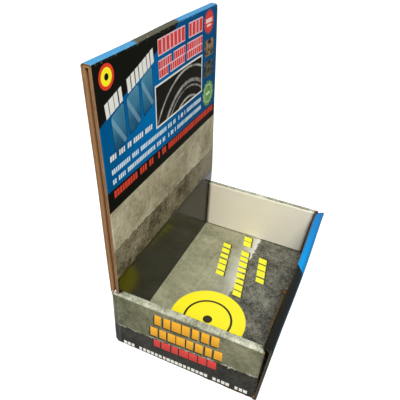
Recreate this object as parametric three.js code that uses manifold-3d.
// Counter display box: a shallow tray and a tall header, die-cut and folded from one sheet of
// corrugated board. X runs across the front, +Y to the back, +Z up. Sizes are in millimetres.
// Each wall is drawn as the centre line of the bent sheet and given the board's thickness.
import * as THREE from "three";
import { mergeVertices } from "three/addons/utils/BufferGeometryUtils.js";
import Module from "manifold-3d";

const wasm = await Module();
wasm.setup();

// Board
const board = 3; // thickness of the corrugated sheet
const foldRadius = 1.3; // outside of a scored fold
const creaseRadius = 0.5; // inside of a scored fold
const slack = 0.5; // air between faces of the sheet that lie against each other
const liner = 0.5; // facing of the board, on each side of its flutes
const flutePitch = 6.5;
const fluteWall = 0.7; // what stands between two flute ends at a cut across them
const fluteDepth = 3; // how deep the flute ends are cut
const grooveDepth = 1; // open flute along a cut that runs with the flutes
const scoreWidth = 1.6; // crease pressed across the header's front panel
const scoreDepth = 0.35; // less than the liner

// Tray
const width = 260;
const depth = 177.5; // front fold to back fold, outside
const rim = 84; // height of the tray's walls
const sideWall = 8; // double side wall, outside to inside
const frontWall = 10.5; // double front wall, outside to inside
const frontLean = 6; // how far the rim of the front wall has sprung forwards
const floorLift = 1; // air under the floor panel
const sideSetback = 1.6; // a side wall's cut edge behind the front panel, at the base
const sideRake = 3; // how far that edge comes forwards on its way up
const innerSetback = 2.8; // the inner side panel's cut edge behind the front wall, at the floor
const innerRake = 2.3;
const sideMitre = 6.5; // run of the mitre on the end of a side wall's top strip
const cornerFold = 2.5; // outside of the side walls' upright folds at the back

// Header
const headerTop = 335; // height over all
const headerDepth = 10; // two boards and the air between them
const headerLean = 9.8; // how far the top stands behind the foot
const headerCrease = 106; // height of the score across the front panel
const headerRoll = 3; // outside of the rolled top edge
const shoulderGap = 0.8; // air under the header's wide part, over the side walls
const headerCorner = 4; // rubbed top right corner

// Flaps of the side walls that lie inside the back wall
const rearFlap = 62; // length along the back
const rearFlapJog = 7; // the fold stands flush with the back, then the flap steps in over this length
const backNotch = 9; // the back wall is this much narrower than the header on each side
const rearFlapTaper = 12; // how much lower its free end is
const rearFlapDrop = 4; // top edge under the rim

// Lock of the front wall in the floor
const tabWidth = 68;
const tabShift = -4; // the tab has slid off the middle of its slot
const tabClear = 0.6; // end of the tab over the table
const slotWidth = 76;
const slotPlay = 0.7; // air in front of and behind the tab
const lipRun = 7; // the slot's rear lip, crushed down by the tab
const lipDrop = 2.6;

// Wear
const crushedCorner = 8; // rounded lower back corner of the left wall

const curveSteps = 4;
const beyond = 1; // cutters run this far past what they cut

const printedBoard = new THREE.MeshStandardMaterial({ color: 0x6f705c, roughness: 0.35, metalness: 0 });

const floorTop = board + floorLift + board;
const wallTop = rim - board / 2; // middle of the board in a top strip
const inWall = width / 2 - board - slack; // half width of what lies between the side walls' outer panels
const inTray = width / 2 - sideWall - slack; // half width of what lies between their inner panels
const faceBack = depth - headerDepth + board; // back of the header's front panel

// Centre line from pairs of places; a third number is the outside radius of that bend.
function line(...places) {
  return places.map(([u, v, radius = foldRadius]) => Object.assign(new THREE.Vector2(u, v), { radius }));
}

// Closed outline of a bent sheet: the centre line is offset both ways by half the thickness, with
// mitred bends that are eased wide on their outside and tight on their inside.
function sheet(centre, thickness = board) {
  const last = centre.length - 1;
  const run = (i) => centre[i + 1].clone().sub(centre[i]).normalize();
  const sides = { 1: [], [-1]: [] };
  centre.forEach((point, i) => {
    const into = run(Math.max(i - 1, 0));
    const out = run(Math.min(i, last - 1));
    const turn = into.cross(out);
    const normal = new THREE.Vector2(-out.y, out.x);
    const mitre = new THREE.Vector2(-into.y, into.x).add(normal).normalize();
    for (const side of [1, -1]) {
      const corner = point.clone().addScaledVector(mitre, (side * thickness) / 2 / mitre.dot(normal));
      const eased = turn * side > 0 ? creaseRadius : point.radius;
      sides[side].push({ corner, radius: Math.abs(turn) < 0.2 ? 0 : eased });
    }
  });
  return easedShape([...sides[1], ...sides[-1].reverse()]);
}

// Polygon whose corners are replaced by short curves.
function easedShape(corners) {
  const shape = new THREE.Shape();
  corners.forEach(({ corner, radius }, i) => {
    const before = corners.at(i - 1).corner;
    const after = corners[(i + 1) % corners.length].corner;
    const start = corner.clone().add(before.clone().sub(corner).setLength(radius));
    const end = corner.clone().add(after.clone().sub(corner).setLength(radius));
    if (i === 0) shape.moveTo(start.x, start.y);
    else shape.lineTo(start.x, start.y);
    if (radius > 0) shape.quadraticCurveTo(corner.x, corner.y, end.x, end.y);
  });
  shape.closePath();
  return shape;
}

function polygon(...places) {
  return new THREE.Shape(places.map(([u, v]) => new THREE.Vector2(u, v)));
}

const axisX = new THREE.Vector3(1, 0, 0);
const axisY = new THREE.Vector3(0, 1, 0);
const axisZ = new THREE.Vector3(0, 0, 1);

// Prism of a shape, as a solid that can be joined and cut.
function prism(shape, length, placed) {
  const options = { depth: length, bevelEnabled: false, curveSegments: curveSteps };
  const geometry = new THREE.ExtrudeGeometry(shape, options).applyMatrix4(placed);
  geometry.deleteAttribute("normal");
  geometry.deleteAttribute("uv");
  const merged = mergeVertices(geometry, 1e-4);
  const vertProperties = new Float32Array(merged.attributes.position.array);
  const triVerts = new Uint32Array(merged.index.array);
  return new wasm.Manifold(new wasm.Mesh({ numProp: 3, vertProperties, triVerts }));
}

// Shape in the Y-Z plane, carried from x0 to x1.
function acrossX(shape, x0, x1) {
  return prism(shape, x1 - x0, new THREE.Matrix4().makeBasis(axisY, axisZ, axisX).setPosition(x0, 0, 0));
}

// Shape in the X-Z plane, carried from y0 to y1.
function acrossY(shape, y0, y1) {
  const placed = new THREE.Matrix4().makeBasis(axisX, axisZ, axisY.clone().negate());
  return prism(shape, y1 - y0, placed.setPosition(0, y1, 0));
}

// Shape in the X-Y plane, carried from z0 to z1.
function acrossZ(shape, z0, z1) {
  return prism(shape, z1 - z0, new THREE.Matrix4().setPosition(0, 0, z0));
}

function block(x0, x1, y0, y1, z0, z1) {
  return acrossZ(polygon([x0, y0], [x1, y0], [x1, y1], [x0, y1]), z0, z1);
}

function cut(body, cutters) {
  return cutters.reduce((rest, cutter) => rest.subtract(cutter), body);
}

// A solid and its mirror image across the middle of the box.
function onBothSides(make) {
  return [make(), make().mirror([1, 0, 0])];
}

// Base, back wall, header and floor: the strip of the sheet that goes up the back, rolls over the
// top of the header, comes down its front and turns forwards over the base.
function spine() {
  const backMid = depth - board / 2;
  const faceMid = faceBack - board / 2;
  const topMid = headerTop - board / 2;
  const floorMid = floorTop - board / 2;
  const centre = line(
    [board, board / 2],
    [backMid, board / 2],
    [backMid, rim],
    [backMid + headerLean, topMid, headerRoll],
    [faceMid + headerLean, topMid, headerRoll],
    [faceMid, headerCrease],
    [faceMid, floorMid],
    [board + slack, floorMid],
  );
  const shoulder = rim + shoulderGap;
  const inBack = width / 2 - backNotch;
  const backInside = depth - board - slack;
  const faceFront = faceBack - board;
  const score = polygon(
    [faceFront - beyond, headerCrease - scoreWidth],
    [faceFront + scoreDepth, headerCrease],
    [faceFront - beyond, headerCrease + scoreWidth],
  );
  return cut(acrossX(sheet(centre), -width / 2, width / 2), [
    ...onBothSides(() => sideGroove(centre)),
    ...onBothSides(() => block(inWall, width / 2 + beyond, 0, depth + beyond, -beyond, shoulder)),
    ...onBothSides(() => block(inBack, width / 2, backInside, depth + beyond, -beyond, shoulder)),
    headerCornerCutter(),
    acrossX(score, -width / 2 - beyond, width / 2 + beyond),
    tabSlot(),
  ]);
}

// Open flute along the right-hand cut edge of a strip of the sheet, between its two liners.
function sideGroove(centre) {
  return acrossX(sheet(centre, board - 2 * liner), width / 2 - grooveDepth, width / 2 + beyond);
}

// What is rubbed off the top right corner of the header: a square outside a round.
function headerCornerCutter() {
  const edge = width / 2;
  const shape = new THREE.Shape();
  shape.moveTo(edge - headerCorner, headerTop);
  shape.quadraticCurveTo(edge, headerTop, edge, headerTop - headerCorner);
  shape.lineTo(edge + beyond, headerTop - headerCorner);
  shape.lineTo(edge + beyond, headerTop + beyond);
  shape.lineTo(edge - headerCorner, headerTop + beyond);
  shape.closePath();
  return acrossY(shape, depth - headerDepth, depth + headerLean + beyond);
}

// How far the front wall has sprung forwards at a height.
function frontShift(z) {
  return (-frontLean * z) / rim;
}

// Slot through the floor and the base, with its rear lip crushed down.
function tabSlot() {
  const tabRear = frontWall + frontShift(floorTop);
  const slotFront = tabRear - board - slotPlay;
  const slotRear = tabRear + slotPlay;
  const section = polygon(
    [slotFront, -beyond],
    [slotRear, -beyond],
    [slotRear, floorTop - lipDrop],
    [slotRear + lipRun, floorTop],
    [slotRear + lipRun, floorTop + beyond],
    [slotFront, floorTop + beyond],
  );
  return acrossX(section, -slotWidth / 2, slotWidth / 2);
}

// Front wall: it turns up from the base, rolls over and comes down to the floor, where its tab
// goes through the slot. Its ends are free, so it has sprung forwards.
function frontFlap() {
  const outerMid = board / 2;
  const innerMid = frontWall - board / 2;
  const centre = line(
    [2 * board, board / 2],
    [outerMid, board / 2],
    [outerMid + frontShift(wallTop), wallTop],
    [innerMid + frontShift(wallTop), wallTop],
    [innerMid + frontShift(tabClear), tabClear],
  );
  const behindOuter = polygon(
    [board + slack + frontShift(0), -beyond],
    [board + slack + frontShift(wallTop), rim - board],
    [frontWall + beyond, rim - board],
    [frontWall + beyond, -beyond],
  );
  const mitre = polygon(
    [width / 2, frontShift(rim) - beyond],
    [width / 2, frontShift(rim)],
    [inTray, frontWall + frontShift(rim)],
    [inTray, frontWall + beyond],
    [width / 2 + beyond, frontWall + beyond],
    [width / 2 + beyond, frontShift(rim) - beyond],
  );
  const tabStart = tabShift - tabWidth / 2;
  const tabEnd = tabShift + tabWidth / 2;
  const underEdge = floorTop + slack;
  return cut(acrossX(sheet(centre), -width / 2, width / 2), [
    ...onBothSides(() => sideGroove(centre)),
    ...onBothSides(() => acrossX(behindOuter, inTray, width / 2 + beyond)),
    ...onBothSides(() => acrossZ(mitre, rim - board, rim + beyond)),
    block(-width / 2, tabStart, board + slack, frontWall + beyond, -beyond, underEdge),
    block(tabEnd, width / 2, board + slack, frontWall + beyond, -beyond, underEdge),
  ]);
}

// Side walls: the sheet turns up from the base, rolls over the rim and comes down to the floor.
function sideWalls() {
  const outerMid = width / 2 - board / 2;
  const innerMid = width / 2 - sideWall + board / 2;
  const foot = floorTop + slack;
  const floorEdge = frontWall + innerSetback;
  const outerEdge = board + sideSetback;
  const start = outerEdge - sideRake;
  const centre = line(
    [innerMid, foot],
    [innerMid, wallTop],
    [outerMid, wallTop],
    [outerMid, board / 2],
    [-outerMid, board / 2],
    [-outerMid, wallTop],
    [-innerMid, wallTop],
    [-innerMid, foot],
  );
  const rearEnd = depth - headerDepth - slack;
  const inside = width / 2 - sideWall - beyond;
  const rakedInner = polygon(
    [start - beyond, board + slack],
    [floorEdge, board + slack],
    [floorEdge - innerRake, rim - board],
    [start - beyond, rim - board],
  );
  const rakedOuter = polygon(
    [start - beyond, -beyond],
    [outerEdge, -beyond],
    [outerEdge, 0],
    [start, rim],
    [start - beyond, rim],
  );
  const mitre = polygon(
    [width / 2 + beyond, start - beyond],
    [width / 2, start],
    [width / 2 - sideWall, start + sideMitre],
    [inside, start + sideMitre],
    [inside, start - beyond],
  );
  return cut(acrossY(sheet(centre), start, depth - cornerFold), [
    ...onBothSides(() => block(inside, width / 2 - board, rearEnd, depth, board + slack, rim + beyond)),
    ...onBothSides(() => acrossX(rakedInner, inside, width / 2 - board)),
    ...onBothSides(() => acrossX(rakedOuter, -beyond, width / 2 + beyond)),
    ...onBothSides(() => acrossZ(mitre, rim - board, rim + beyond)),
    ...onBothSides(() => fluteEnds(outerMid, start, outerEdge)),
    ...onBothSides(() => fluteEnds(innerMid, floorEdge - innerRake, floorEdge)),
    tabSlot(),
  ]);
}

// Flute ends at the upright front edge of a side panel: a row of triangles between the liners,
// with their bases on the one and the other liner in turn. The edge is raked from top to foot.
function fluteEnds(middle, top, foot) {
  const half = board / 2 - liner;
  const lowest = floorTop + board;
  const count = Math.floor((2 * (rim - board - lowest)) / flutePitch) - 1;
  const ends = Array.from({ length: count }, (_, i) => {
    const z = lowest + (i + 1) * (flutePitch / 2);
    const side = i % 2 ? 1 : -1;
    const base = middle + side * half;
    const reach = flutePitch / 2 - fluteWall;
    const triangle = polygon([base, z - reach], [base - 2 * side * half, z], [base, z + reach]);
    const edge = foot + (top - foot) * (z / rim);
    return acrossY(triangle, edge - beyond, edge + fluteDepth);
  });
  return ends.reduce((row, end) => row.add(end));
}

// Flap at the back end of a side wall, turned in behind the header's front panel.
function rearFlapPanel() {
  const outerMid = width / 2 - board / 2;
  const flapMid = depth - headerDepth / 2;
  const freeEnd = width / 2 - rearFlap;
  const top = rim - rearFlapDrop;
  const centre = line(
    [outerMid, depth - headerDepth],
    [outerMid, depth - board / 2, cornerFold],
    [outerMid - rearFlapJog, flapMid, board],
    [freeEnd, flapMid],
  );
  const whole = acrossZ(sheet(centre), board + slack, top);
  const taper = polygon(
    [freeEnd - beyond, top - rearFlapTaper],
    [width / 2 - board - slack, top],
    [width / 2 - board - slack, top + beyond],
    [freeEnd - beyond, top + beyond],
  );
  return whole.subtract(acrossY(taper, faceBack - beyond, depth));
}

// What is crushed off the lower back corner of the left wall.
function crushedCornerCutter() {
  const rear = depth;
  const shape = new THREE.Shape();
  shape.moveTo(rear - crushedCorner, 0);
  shape.quadraticCurveTo(rear, 0, rear, crushedCorner);
  shape.lineTo(rear + beyond, crushedCorner);
  shape.lineTo(rear + beyond, -beyond);
  shape.lineTo(rear - crushedCorner, -beyond);
  shape.closePath();
  return acrossX(shape, -width / 2 - beyond, -width / 2 + board);
}

function mesh(name, solid, material) {
  const { vertProperties, triVerts } = solid.getMesh();
  const indexed = new THREE.BufferGeometry();
  indexed.setAttribute("position", new THREE.BufferAttribute(new Float32Array(vertProperties), 3));
  indexed.setIndex(new THREE.BufferAttribute(new Uint32Array(triVerts), 1));
  const geometry = indexed.toNonIndexed();
  geometry.computeVertexNormals();
  const made = new THREE.Mesh(geometry, material);
  made.name = name;
  return made;
}

const folded = [frontFlap(), sideWalls(), ...onBothSides(rearFlapPanel)].reduce(
  (joined, piece) => joined.add(piece),
  spine(),
);

const displayBox = mesh("display_box", folded.subtract(crushedCornerCutter()), printedBoard);
displayBox.position.y = -depth / 2; // the origin is under the middle of the tray

const box = new THREE.Group();
box.add(displayBox);

export default box;
